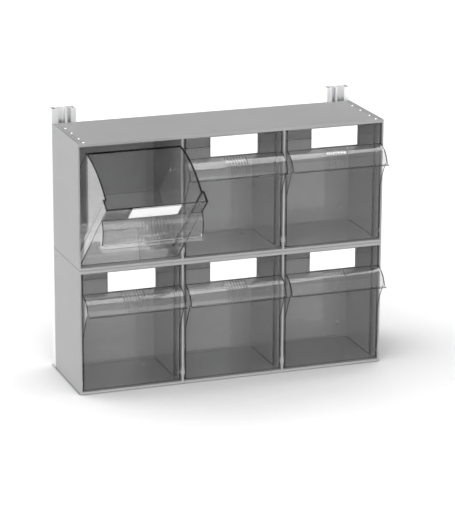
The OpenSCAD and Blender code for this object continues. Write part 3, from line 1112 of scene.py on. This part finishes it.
    def lip(self) -> Solid:
        """The curved finger lip, from the strip down into its bead.

        Returns:
            The shape, with its ends marked for the painted dark edge.
        """
        drop = self.lip_bottom - self.bead_height / 2 - self.lip_centre[1]
        outline: list[Point] = []
        inner = (self.lip_radius - self.wall, self.lip_start + self.lip_lead)
        for radius, start in ((self.lip_radius, self.lip_start), inner):
            stop = 180 - math.degrees(math.asin(drop / radius))
            face = arc(self.lip_centre, radius, start, stop, 14)
            outline += reversed(face) if outline else face
        made = Solid.drawn(outline, Axis.X, -self.band_half, self.band_half)
        return made.marked(lambda at, out: abs(out.x) > SQUARE_ON)

    def bead(self) -> Solid:
        """The small flange along the lip's lower edge.

        Returns:
            The shape, with rounded front edges, and its front and ends marked for the painted dark edge.
        """
        low, back = self.lip_bottom - self.bead_height, self.lip_centre[0] - self.lip_radius + self.bead_root
        made = Solid.block((-self.band_half, -self.bead_reach, low), (self.band_half, back, self.lip_bottom))
        made.marked(lambda at, out: out.y < -SQUARE_ON or abs(out.x) > SQUARE_ON)
        tip = 0.3 - self.bead_reach
        return made.rounded(self.bead_corner, lambda at, way: at.y < tip and abs(way.x) > SQUARE_ON, 2)

    def web(self) -> Solid:
        """Right-hand web that closes the space under the lip, with a hollow front edge.

        Returns:
            The shape, with its rim marked for the painted dark edge.
        """
        top, steps = self.lip_bottom - self.bead_height / 2, 10
        edge = []
        for i in range(steps + 1):
            share = i / steps
            y = self.web_front * (1 - share) ** self.web_curve + self.web_foot * share
            edge.append((y, top - self.web_height * share))
        cap = arc(self.lip_centre, self.lip_radius - self.wall / 2, *self.web_cap, steps)
        made = Solid.drawn([*reversed(edge), *cap], Axis.X, self.band_half - self.wall, self.band_half - 0.2)
        return made.marked(lambda at, out: abs(out.x) < 0.5 and at.z < top)

    def grip(self) -> Solid:
        """Fine ribs over the middle of the lip, for the fingertips.

        Returns:
            All of them.
        """
        rib = Solid()
        foot, half = self.lip_radius - self.grip_root, self.grip_half
        crest = foot + self.grip_height
        start, stop = (math.radians(end) for end in self.grip_ends)
        ring = [rib.bm.verts.new((x, 0, 0)) for x in (-half, -half * 0.5, half * 0.5, half)]
        for vert, reach in zip(ring, (foot, crest, crest, foot)):
            vert.co.y = self.lip_centre[0] + reach * math.cos(start)
            vert.co.z = self.lip_centre[1] + reach * math.sin(start)
        bmesh.ops.spin(
            rib.bm, geom=[rib.bm.faces.new(ring)], cent=(0, *self.lip_centre), axis=(1, 0, 0),
            angle=stop - start, steps=14, use_merge=False, use_duplicate=False,
        )
        bmesh.ops.holes_fill(rib.bm, edges=rib.bm.edges, sides=4)
        bmesh.ops.recalc_face_normals(rib.bm, faces=rib.bm.faces)
        pitch = self.grip_width / (self.grip_ribs - 1)
        copies = [rib.copy().shifted(i * pitch - self.grip_width / 2, 0, 0) for i in range(self.grip_ribs)]
        return copies[0].gathered(copies[1:])

    def hinge_parts(self) -> list[Solid]:
        """The right-hand trunnion and stop lug.

        Returns:
            Both.
        """
        trunnion = Solid.rod(self.band_half - self.root, self.trunnion_end, self.trunnion_radius, self.pivot)
        lug = Solid.rod(self.body_half - self.root, self.lug_end, self.lug_radius, self.lug, 32)
        return [trunnion, lug]

    def shape(self) -> Solid:
        """The closed bin.

        Returns:
            The moulding, in the frame of its cell.
        """
        moulding = self.band().joined(self.body()).cut(*self.hollows())
        moulding.joined(self.lip(), self.bead())
        for part in [*self.rim_beads(), self.web(), *self.hinge_parts()]:
            moulding.joined(part, part.mirrored())
        moulding.eased(*self.easing)
        return moulding.joined(self.grip()).cleaned()

    def place(self, cell: Cell) -> Matrix:
        """Where a cell's bin stands.

        Args:
            cell: The cell.

        Returns:
            The bin's place, tilted forward where it is open.
        """
        placed = Matrix.Translation(cell.corner)
        if not cell.open:
            return placed
        pivot = Vector((0, *self.pivot))
        tilt = Matrix.Rotation(math.radians(self.open_degrees), 4, "X")
        return placed @ Matrix.Translation(pivot) @ tilt @ Matrix.Translation(-pivot)

    def build(self) -> list[Piece]:
        """Makes the six bins from one moulding.

        Returns:
            The pieces.
        """
        moulding = self.shape()
        clear, edge, rim = (finish.material() for finish in (self.finish, self.painted_dark_edge_finish, self.painted_shade_rim_finish))
        pieces = []
        for cell in CELLS:
            # Finish 1 is the painted dark edge on every bin; finish 2 is the painted dark rim on the open
            # bin, and plain clear on the closed ones.
            finishes = [clear, edge, rim if cell.open else clear]
            facts = PieceFacts(f"clear_bin_{cell.name}", f"{cell.name}_bin", "clear_bin", f"bin_{cell.name}")
            pieces.append(make_piece(moulding.copy().moved(self.place(cell)), facts, finishes))
        return pieces


@dataclass
class LabelHolder:
    """White card behind a clear cover, at the top of each bin's front."""

    tilt_bin: TiltBin
    card_half: float = 46.0
    card_bottom: float = 196.1
    card_height: float = 37.0
    card_back: float = -0.1
    card_thickness: float = 0.4
    card_corner: float = 0.9
    cover_half: float = 51.0
    cover_bottom: float = 195.3
    cover_top: float = 232.7
    cover_front: float = -1.6
    cover_thickness: float = 1.0
    rail: float = 3.0
    rail_root: float = 0.5
    rail_gap: float = 0.15
    foot_height: float = 0.7
    easing: Point = (0.2, 1.2)  # width, and the shortest edge that has it
    card_finish: PaperCard = WHITE_CARD
    cover_finish: ClearPlastic = CLEAR_COVER
    painted_shade_rim_finish: ClearPlastic = COVER_PAINTED_EDGE_SHADE

    def card(self) -> Solid:
        """The card.

        Returns:
            The shape, with slightly rounded corners.
        """
        low = (-self.card_half, self.card_back - self.card_thickness, self.card_bottom)
        high = (self.card_half, self.card_back, self.card_bottom + self.card_height)
        return Solid.block(low, high).rounded(self.card_corner, lambda at, way: abs(way.y) > SQUARE_ON)

    def cover(self) -> Solid:
        """The cover: a clear face with a rail down each side and one along its foot.

        Returns:
            The shape, with its ends marked for the painted edge shade.
        """
        half, low, high, step = self.cover_half, self.cover_bottom, self.cover_top, LAP / 2
        back, reach = self.cover_front + self.cover_thickness, -self.rail_gap
        root, sill = back - self.rail_root, low + self.foot_height
        made = Solid.block((-half, self.cover_front, low), (half, back, high))
        rail = Solid.block((half - self.rail, root, low + step), (half - step, reach, high - step))
        foot = Solid.block((LAP - half, root, low + LAP), (half - LAP, reach, sill))
        made.joined(rail, rail.mirrored(), foot)
        made.marked(lambda at, out: abs(out.x) > SQUARE_ON)
        return made.eased(*self.easing)

    def build(self) -> list[Piece]:
        """Makes the card and the cover of each bin.

        Returns:
            The twelve pieces.
        """
        # The cover's ends take the painted edge shade.
        cover_finishes = [self.cover_finish.material(), self.painted_shade_rim_finish.material()]
        parts = (
            ("white_card", "card", "label_card", self.card(), [self.card_finish.material()]),
            ("clear_cover", "clear_cover", "label_cover", self.cover(), cover_finishes),
        )
        pieces = []
        for cell in CELLS:
            for name, slot, node, shape, finishes in parts:
                facts = PieceFacts(f"{name}_{cell.name}", f"{cell.name}_bin", slot, f"{node}_{cell.name}")
                pieces.append(make_piece(shape.copy().moved(self.tilt_bin.place(cell)), facts, finishes))
        return pieces


@dataclass
class Upright:
    """Extruded upright with a wide and a narrow slot in its front."""

    outer_x: float = -300.0
    width: float = 47.0
    front_y: float = 84.0
    depth: float = 21.0
    height: float = 507.0
    wall: float = 2.0
    slots: tuple[Point, ...] = ((19.0, 14.0), (33.5, 7.0))  # middle and opening of each
    undercut: float = 1.25
    hollows: tuple[Point, ...] = ((2.0, 9.0), (40.0, 45.0))
    hole_x: float = 19.0
    hole_heights: tuple[float, ...] = (60.0, 447.0)
    hole_cutter: Point = (3.5, 4.5)  # radius and length
    easing: Point = (0.25, 4.0)  # width, and the shortest edge that has it
    finish: Metal = ANODISED

    def section_cut(self, outline: list[Point]) -> Solid:
        """A cutter with this section, from below the foot to above the top."""
        return Solid.drawn(outline, Axis.Z, -2 * PROUD, self.height + 2 * PROUD)

    def slot_outline(self, middle: float, opening: float) -> list[Point]:
        """Section of an undercut slot.

        Args:
            middle: Distance of its middle from the upright's outer side.
            opening: Width of its mouth.

        Returns:
            The corners, from the front face inwards.
        """
        half, wide = opening / 2, opening / 2 + self.undercut
        front, lip = self.front_y - PROUD, self.front_y + self.wall
        back = self.front_y + self.depth - self.wall
        x = self.outer_x + middle
        return [
            (x - half, front), (x + half, front), (x + half, lip), (x + wide, lip),
            (x + wide, back), (x - wide, back), (x - wide, lip), (x - half, lip),
        ]

    def shape(self) -> Solid:
        """The left upright.

        Returns:
            The shape, in the unit's frame.
        """
        low = (self.outer_x, self.front_y, 0)
        high = (self.outer_x + self.width, self.front_y + self.depth, self.height)
        bar = Solid.block(low, high)
        for middle, opening in self.slots:
            bar.cut(self.section_cut(self.slot_outline(middle, opening)))
        inner_front, inner_back = self.front_y + self.wall, self.front_y + self.depth - self.wall
        for near, far in self.hollows:
            x0, x1 = self.outer_x + near, self.outer_x + far
            corners = [(x0, inner_front), (x1, inner_front), (x1, inner_back), (x0, inner_back)]
            bar.cut(self.section_cut(corners))
        bar.eased(*self.easing)
        lying = Matrix.Rotation(QUARTER_TURN, 4, "X")
        for z in self.hole_heights:
            place = Matrix.Translation((self.outer_x + self.hole_x, self.front_y + self.depth + PROUD, z))
            bar.cut(Solid.peg(*self.hole_cutter, 32).moved(place @ lying))
        return bar.cleaned()

    def build(self) -> list[Piece]:
        """Makes the left upright and its mirror twin.

        Returns:
            The two pieces.
        """
        left, finish = self.shape(), self.finish.material()
        pieces = []
        for side, shape in ((Side.LEFT, left), (Side.RIGHT, left.mirrored())):
            node = f"upright_{side.name.lower()}"
            facts = PieceFacts(f"extruded_{node}", "rack", "upright", node)
            pieces.append(make_piece(shape, facts, [finish]))
        return pieces


@dataclass
class LocatingPins:
    """Rows of small domed pins near both ends of a housing's top."""

    housing: Housing
    shank_radius: float = 1.5
    shank_length: float = 2.8
    shank_chamfer: float = 0.3
    head_radius: float = 2.1
    head_height: float = 1.0
    dome: tuple[Point, ...] = ((1, 0.35), (0.9, 0.68), (0.62, 0.92))  # shares of radius and height
    finish: Metal = BRIGHT_PINS

    def pin(self) -> Solid:
        """One pin.

        Returns:
            The shape, with its head's underside at Z = 0.
        """
        radius, tip = self.shank_radius, -self.shank_length
        outline = [(0, tip), (radius - self.shank_chamfer, tip), (radius, self.shank_chamfer + tip)]
        outline += [(radius, 0), (self.head_radius, 0)]
        outline += [(self.head_radius * out, self.head_height * up) for out, up in self.dome]
        return Solid.turned([*outline, (0, self.head_height)], 28)

    def build(self) -> list[Piece]:
        """Makes the pins of both housings.

        Returns:
            The two pieces.
        """
        finish, pieces = self.finish.material(), []
        x = self.housing.half_width - self.housing.pin_inset
        for row, name in ((Row.BOTTOM, "locating_pins_lower"), (Row.TOP, "locating_pins_upper")):
            top = (row.value + 1) * self.housing.height
            pins = [
                self.pin().shifted(side.value * x, FRONT_PLANE_Y + y, top)
                for side in Side for y in self.housing.pin_places
            ]
            facts = PieceFacts(f"domed_{name}", "rack", "pins", name)
            pieces.append(make_piece(pins[0].gathered(pins[1:]), facts, [finish]))
        return pieces


@dataclass
class Fixings:
    """Screws with washers and slot nuts that hold the housings to the uprights."""

    housing: Housing
    shank_radius: float = 3.0
    shank_length: float = 13.6
    shank_chamfer: float = 0.6
    head_radius: float = 5.25
    head_height: float = 3.3
    head_chamfer: Point = (0.2, 0.3)
    dome: tuple[Point, ...] = ((0.96, 0.45), (0.84, 0.78), (0.66, 0.95), (0.5, 1))  # as the pins'
    socket_width: float = 4.6
    socket_depth: float = 2.0
    washer_radius: float = 6.25
    washer_thickness: float = 1.6
    washer_chamfer: float = 0.2
    back_wall: float = 3.0
    bore: float = 3.05
    nut_half_width: float = 7.75
    nut_half_length: float = 10.0
    nut_thickness: float = 5.0
    nut_easing: Point = (0.5, 1.0)
    upright_wall: float = 2.0
    finish: MouldedPlastic = GREY_FIXINGS

    def screw(self) -> Solid:
        """One button-head screw.

        Returns:
            The shape, with its head's underside at Z = 0 and its shank below.
        """
        r, h, shank, tip = self.head_radius, self.head_height, self.shank_radius, -self.shank_length
        inset, rise = self.head_chamfer
        outline = [(0, tip), (shank - self.shank_chamfer, tip), (shank, tip + self.shank_chamfer)]
        outline += [(shank, 0), (r - inset, 0), (r, rise)]
        outline += [(r * out, h * up) for out, up in self.dome]
        socket = Solid.peg(self.socket_width / 2, 2 * self.socket_depth, 6)
        return Solid.turned([*outline, (0, h)]).cut(socket.shifted(0, 0, h - self.socket_depth))

    def washer(self) -> Solid:
        """One flat washer.

        Returns:
            The shape, with its underside at Z = 0.
        """
        r, t, edge = self.washer_radius, self.washer_thickness, self.washer_chamfer
        return Solid.turned(
            [(self.bore, 0), (r - edge, 0), (r, edge), (r, t - edge), (r - edge, t), (self.bore, t)],
        )

    def nut(self) -> Solid:
        """One slot nut.

        Returns:
            The shape, with eased edges and a bore.
        """
        half_x, half_y, thick = self.nut_half_width, self.nut_half_length, self.nut_thickness
        made = Solid.block((-half_x, -half_y, 0), (half_x, half_y, thick)).eased(*self.nut_easing)
        return made.cut(Solid.peg(self.bore, thick + 3 * PROUD, 32).shifted(0, 0, -PROUD))

    def at_each_hole(self, shape: Solid, height: float) -> Solid:
        """Copies of a shape at the eight fixing points.

        Args:
            shape: One screw, washer or nut, with Z pointing out of the wall.
            height: Its distance in front of the housing's back face.

        Returns:
            All eight, in the unit's frame.
        """
        forward = Matrix.Rotation(QUARTER_TURN, 4, "X")
        back_face = FRONT_PLANE_Y + self.housing.depth
        copies = []
        for row in Row:
            for x in (-self.housing.screw_x, self.housing.screw_x):
                for z in self.housing.screw_heights:
                    at = (x, back_face - height, row.value * self.housing.height + z)
                    copies.append(shape.copy().moved(Matrix.Translation(at) @ forward))
        return copies[0].gathered(copies[1:])

    def build(self) -> list[Piece]:
        """Makes the three sets of fixings.

        Returns:
            The pieces.
        """
        finish = [self.finish.material()]
        sets = (
            ("fixing_screws", self.screw(), self.back_wall + self.washer_thickness),
            ("fixing_washers", self.washer(), self.back_wall),
            ("slot_nuts", self.nut(), -self.upright_wall - self.nut_thickness),
        )
        pieces = []
        for node, shape, height in sets:
            facts = PieceFacts(f"coated_{node}", "rack", "fixings", node)
            pieces.append(make_piece(self.at_each_hole(shape, height), facts, finish))
        return pieces


@dataclass
class Lamp:
    """One soft lamp: a panel that faces a point of the unit, and shows in gloss alone."""

    name: str
    place: Place
    target: Place
    size: Point
    power: float


@dataclass
class Sun:
    """One broad distant light, turned from straight down by Euler angles in degrees."""

    name: str
    turn: Place
    spread: float
    strength: float


@dataclass
class Studio:
    """Plain pale floor, soft light and the camera, in metres."""

    azimuth: float = -19.91
    elevation: float = 16.49
    roll: float = 0.24
    distance: float = 4.856
    target: Place = (0.0187, 0.0, 0.2156)
    lens: float = 179.3
    sensor: float = 36.0
    clip: Point = (0.05, 100.0)
    floor_half: float = 30.0
    floor_colour: Colour = (0.9, 0.9, 0.9)
    floor_mottle: Point = (0.6, 0.004)  # cycles for each metre, and tint
    floor_seen: Colour = (1.36, 1.36, 1.36)
    floor_glow: float = 0.38
    # Reach and darkest value of each painted contact shadow on the floor.
    painted_contact_shadows: tuple[Point, ...] = ((0.4, 0.55), (0.006, 0.3))  # reach and darkest
    open_sky: Point = (0.45, 1.0)  # share of sky seen where a contact shade is full, and where it ends
    ambient: float = 0.4
    suns: list[Sun] = field(default_factory=lambda: [
        Sun("key_light", (61.0, 0.0, -68.0), 125.0, 2.1),
        Sun("front_fill", (76.0, 0.0, -10.0), 60.0, 1.05),
    ])
    lamps: list[Lamp] = field(default_factory=lambda: [
        Lamp("top_softbox", (0.1, 0.25, 2.6), (0.0, 0.0, 0.3), (2.4, 2.4), 62.0),
    ])

    def camera(self) -> bpy.types.Object:
        """The camera at the photographed angle, made the scene's own.

        Returns:
            The camera.
        """
        data = bpy.data.cameras.new("view_camera")
        data.lens, data.sensor_width, data.sensor_fit = self.lens, self.sensor, "AUTO"
        data.clip_start, data.clip_end = self.clip
        turn, rise, roll = (math.radians(v) for v in (self.azimuth, self.elevation, self.roll))
        back = Vector((math.sin(turn) * math.cos(rise), -math.cos(turn) * math.cos(rise), math.sin(rise)))
        right = Vector((0, 0, 1)).cross(back).normalized()
        up = back.cross(right)
        rolled_right = right * math.cos(roll) + up * math.sin(roll)
        rolled_up = back.cross(rolled_right)
        pose = Matrix((rolled_right, rolled_up, back)).transposed().to_4x4()
        camera = scene_object("view_camera", data)
        camera.matrix_world = Matrix.Translation(Vector(self.target) + back * self.distance) @ pose
        bpy.context.scene.camera = camera
        return camera

    def seen_directly(self, nodes: Nodes) -> Socket:
        """Tells the camera's own rays from those that carry soft light.

        Args:
            nodes: The tree that asks.

        Returns:
            Socket: 1 for the camera's rays and what they meet in gloss or through clear plastic.
        """
        rays = nodes.add("ShaderNodeLightPath", {}).outputs

        def joined(first: Socket, second: Socket | float, how: str) -> Socket:
            """Result of one operation on two values."""
            return nodes.add("ShaderNodeMath", {0: first, 1: second}, operation=how).outputs[0]

        gloss = joined(rays["Is Camera Ray"], rays["Is Glossy Ray"], "MAXIMUM")
        through = joined(gloss, rays["Is Transmission Ray"], "MAXIMUM")
        return joined(through, joined(rays["Diffuse Depth"], 0.5, "LESS_THAN"), "MULTIPLY")

    def floor_finish(self) -> Material:
        """The floor's finish, which shows white where no shadow falls, with contact shadows painted into its
        directly seen colour.

        Returns:
            The material.
        """
        nodes = Nodes(bpy.data.materials.new("studio_floor"))
        scale, tint = self.floor_mottle
        pale = nodes.tinted(nodes.noise(scale), self.floor_colour, tint)
        diffuse = nodes.add("ShaderNodeBsdfDiffuse", {"Color": pale})
        full, none = self.open_sky
        colour: Colour | Socket = self.floor_seen
        # Painted contact shadow: ambient occlusion darkens the floor's directly seen colour near the unit.
        for reach, darkest in self.painted_contact_shadows:
            near = nodes.add("ShaderNodeAmbientOcclusion", {"Distance": reach}, samples=16)
            shade = nodes.add("ShaderNodeMapRange", {
                "Value": near.outputs["AO"], "From Min": full, "From Max": none,
                "To Min": darkest, "To Max": 1.0,
            })
            settings = {0: colour, "Scale": shade.outputs["Result"]}
            colour = nodes.add("ShaderNodeVectorMath", settings, operation="SCALE").outputs[0]
        seen = nodes.add("ShaderNodeBsdfDiffuse", {"Color": colour})
        glow = nodes.add("ShaderNodeEmission", {"Strength": self.floor_glow})
        lit = nodes.add("ShaderNodeAddShader", {0: diffuse.outputs[0], 1: glow.outputs[0]})
        return nodes.done(nodes.mixed(self.seen_directly(nodes), lit, seen))

    def floor(self) -> bpy.types.Object:
        """The floor, a wide table top.

        Returns:
            The floor's object.
        """
        bm = bmesh.new()
        bmesh.ops.create_grid(bm, x_segments=1, y_segments=1, size=self.floor_half)
        mesh = bpy.data.meshes.new("studio_floor")
        bm.to_mesh(mesh)
        bm.free()
        mesh.materials.append(self.floor_finish())
        floor = scene_object("studio_floor", mesh)
        return floor

    def world(self) -> None:
        """An even soft light all round, which is seen as plain white."""
        nodes = Nodes(bpy.data.worlds.new("studio_world"))
        soft, white = (
            nodes.add("ShaderNodeBackground", {"Color": (1, 1, 1, 1), "Strength": strength})
            for strength in (self.ambient, 1.0)
        )
        mixed = nodes.mixed(self.seen_directly(nodes), soft, white)
        bpy.context.scene.world = nodes.done(mixed, "World")

    def lights(self) -> None:
        """A key light from the left, a fill from the front, and a softbox above."""
        for sun in self.suns:
            light = bpy.data.lights.new(sun.name, "SUN")
            light.energy, light.angle = sun.strength, math.radians(sun.spread)
            scene_object(sun.name, light).rotation_euler = Euler([math.radians(v) for v in sun.turn])
        for lamp in self.lamps:
            panel = bpy.data.lights.new(lamp.name, "AREA")
            panel.shape, panel.energy = "RECTANGLE", lamp.power
            panel.size, panel.size_y = lamp.size
            aim = (Vector(lamp.target) - Vector(lamp.place)).to_track_quat("-Z", "Y")
            holder = scene_object(lamp.name, panel)
            holder.matrix_world = Matrix.Translation(lamp.place) @ aim.to_matrix().to_4x4()
            holder.visible_diffuse = False

    def build(self) -> None:
        """Sets up camera, floor, light and colour handling."""
        self.camera()
        self.floor()
        self.world()
        self.lights()
        bpy.context.scene.view_settings.view_transform = "Standard"


def main() -> None:
    """Builds the unit and its studio."""
    logging.basicConfig(level=logging.INFO, format="%(name)s: %(message)s")
    Studio().build()
    housing, tilt_bin = Housing(), TiltBin()
    builders = (housing, tilt_bin, LabelHolder(tilt_bin), Upright(), LocatingPins(housing), Fixings(housing))
    for builder in builders:
        pieces = builder.build()
        log.info("%s: %d pieces", type(builder).__name__, len(pieces))


if __name__ == "__main__":
    main()
